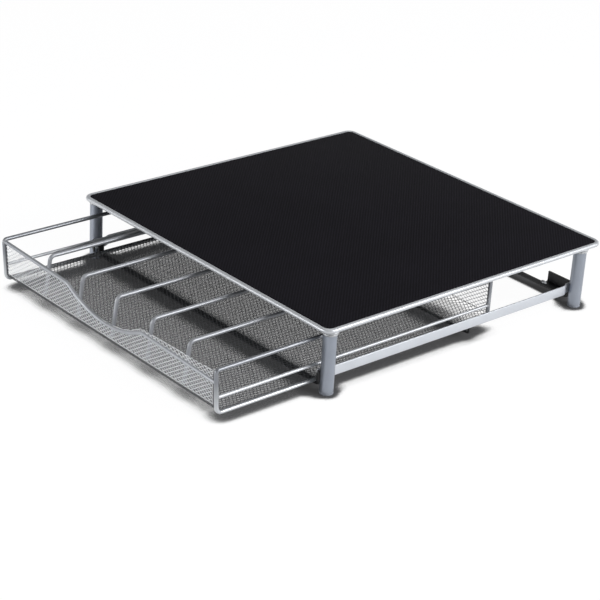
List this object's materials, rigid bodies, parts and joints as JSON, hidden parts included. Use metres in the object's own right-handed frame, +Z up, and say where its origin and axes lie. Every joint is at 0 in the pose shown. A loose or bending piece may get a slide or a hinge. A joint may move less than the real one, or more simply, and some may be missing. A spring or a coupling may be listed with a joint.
{
  "type": "coffee pod drawer",
  "caption": "Low steel stand with a black mat on top and a wire and mesh drawer with lanes for coffee pods sliding out from under it.",
  "frame": {"origin": "on the surface it stands on, under the middle of the whole part with the drawer drawn out as at rest", "axes": "+Z up, +X to the right as seen from the drawer's front, and the drawer opens towards -Y"},
  "size_m": [0.3752, 0.4707, 0.0678],
  "materials": {
    "silver_paint": "satin silver powder coat on steel wire",
    "leg_paint": "satin blue-grey powder coat on steel tube",
    "rail_paint": "satin light grey powder coat on steel strip",
    "mesh_steel": "expanded steel mesh, grey powder coat",
    "panel_paint": "satin black coat on steel sheet and strip",
    "rubber_mat": "fine woven grain, matt",
    "cap_plastic": "moulded grey cap"
  },
  "bodies": {
    "stand": {"rim_wire": "silver_paint", "platform_panel": "panel_paint", "top_mat": "rubber_mat", "leg_front_left": "leg_paint", "leg_front_right": "leg_paint", "leg_rear_left": "leg_paint", "leg_rear_right": "leg_paint", "cap_front_left": "cap_plastic", "cap_front_right": "cap_plastic", "cap_rear_left": "cap_plastic", "cap_rear_right": "cap_plastic", "rail_left": "rail_paint", "rail_right": "rail_paint", "brace_front": "panel_paint", "brace_middle": "panel_paint", "brace_rear": "panel_paint"},
    "drawer": {"side_loop_left": "silver_paint", "side_loop_right": "silver_paint", "middle_wire_left": "silver_paint", "middle_wire_right": "silver_paint", "front_rim": "silver_paint", "rear_rim": "silver_paint", "mesh_front": "mesh_steel", "mesh_floor": "mesh_steel", "mesh_rear": "mesh_steel", "divider_1": "silver_paint", "divider_2": "silver_paint", "divider_3": "silver_paint", "divider_4": "silver_paint", "divider_5": "silver_paint"}
  },
  "joints": [
    {"name": "drawer_slide", "type": "slide", "parent": "stand", "child": "drawer", "axis": [0, -1, 0], "range_m": [-0.1201, 0.1673]}
  ]
}
